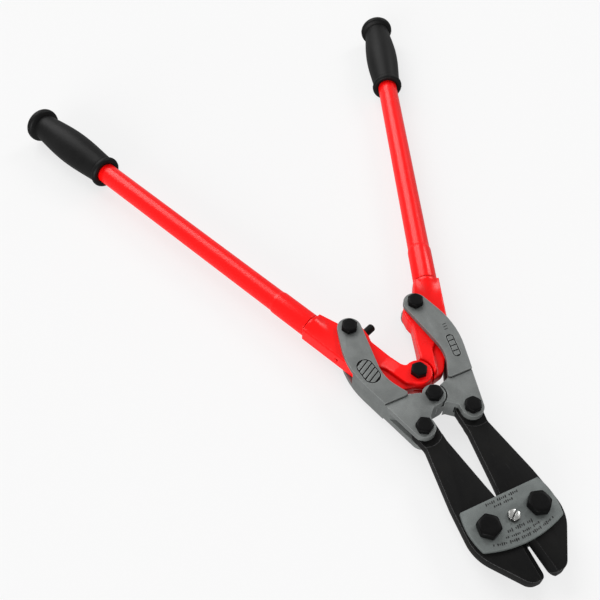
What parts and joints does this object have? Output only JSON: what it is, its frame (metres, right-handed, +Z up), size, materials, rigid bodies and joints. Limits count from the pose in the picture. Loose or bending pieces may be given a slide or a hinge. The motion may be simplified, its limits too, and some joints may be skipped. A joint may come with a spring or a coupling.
{
  "type": "bolt cutters",
  "caption": "Long-handled double-compound bolt cutters lying flat, with steel jaws between cover plates, cast links, tubular handles and rubber grips.",
  "frame": {"origin": "centre of the object's box in X and Y, on the surface that the object lies on", "axes": "+Y from the jaws to the grips, along the line on which both blades, both links and both handles meet; +Z up; +X to the right handle as seen from above with the jaws nearest"},
  "size_m": [0.587, 0.8601, 0.048],
  "materials": {
    "red_enamel": "glossy red enamel on castings and tubes",
    "grip_rubber": "matte moulded rubber",
    "cast_grey": "satin grey coat on forged links",
    "plate_grey": "satin grey coat on pressed plates",
    "blade_black": "black oxide on forged tool steel",
    "black_bolt": "black oxide fasteners",
    "zinc": "bright zinc plate",
    "stop_rubber": "hard black rubber"
  },
  "bodies": {
    "head": {"cover_plate_top": "plate_grey", "cover_plate_bottom": "plate_grey", "blade_bolts": "black_bolt", "blade_nuts": "black_bolt", "centre_screw": "zinc", "centre_nut": "zinc", "centre_spacer": "zinc"},
    "blade_left": {"blade_left": "blade_black"},
    "blade_right": {"blade_right": "blade_black"},
    "link_left": {"link_left": "cast_grey", "tail_bolt_left": "black_bolt", "tail_nut_left": "black_bolt", "link_pivot_bolt": "black_bolt", "link_pivot_nut": "black_bolt", "handle_bolt_left": "black_bolt", "handle_nut_left": "black_bolt"},
    "link_right": {"link_right": "cast_grey", "tail_bolt_right": "black_bolt", "tail_nut_right": "black_bolt", "handle_bolt_right": "black_bolt", "handle_nut_right": "black_bolt"},
    "handle_left": {"handle_casting_left": "red_enamel", "handle_tube_left": "red_enamel", "grip_left": "grip_rubber", "handle_pivot_bolt": "black_bolt", "handle_pivot_nut": "black_bolt", "stop_bumper": "stop_rubber"},
    "handle_right": {"handle_casting_right": "red_enamel", "handle_tube_right": "red_enamel", "grip_right": "grip_rubber"}
  },
  "joints": [
    {"name": "blade_right_pivot", "type": "hinge", "parent": "head", "child": "blade_right", "pos_m": [0.0292, -0.36723, 0.024], "axis": [0, 0, 1], "range_deg": [-2.39, 2.42]},
    {"name": "link_right_pivot", "type": "hinge", "parent": "blade_right", "child": "link_right", "pos_m": [0.0298, -0.24523, 0.024], "axis": [0, 0, 1], "range_deg": [-12, 11.85]},
    {"name": "handle_right_pivot", "type": "hinge", "parent": "link_right", "child": "handle_right", "pos_m": [0.0432, -0.09862, 0.024], "axis": [0, 0, 1], "range_deg": [-3.86, 3.81]},
    {"name": "blade_left_pivot", "type": "hinge", "parent": "head", "child": "blade_left", "pos_m": [-0.0292, -0.36723, 0.024], "axis": [0, 0, 1], "range_deg": [-2.42, 2.39]},
    {"name": "link_left_pivot", "type": "hinge", "parent": "blade_left", "child": "link_left", "pos_m": [-0.0298, -0.24523, 0.024], "axis": [0, 0, 1], "range_deg": [-11.87, 12.02]},
    {"name": "handle_left_pivot", "type": "hinge", "parent": "link_left", "child": "handle_left", "pos_m": [-0.0432, -0.09862, 0.024], "axis": [0, 0, 1], "range_deg": [-3.81, 3.86]}
  ],
  "couplings": [
    {"joint": "blade_right_pivot", "follows": "link_right_pivot", "ratio": -0.2},
    {"joint": "handle_right_pivot", "follows": "link_right_pivot", "ratio": 0.32},
    {"joint": "link_left_pivot", "follows": "link_right_pivot", "ratio": -1},
    {"joint": "blade_left_pivot", "follows": "link_right_pivot", "ratio": 0.2},
    {"joint": "handle_left_pivot", "follows": "link_right_pivot", "ratio": -0.32}
  ]
}
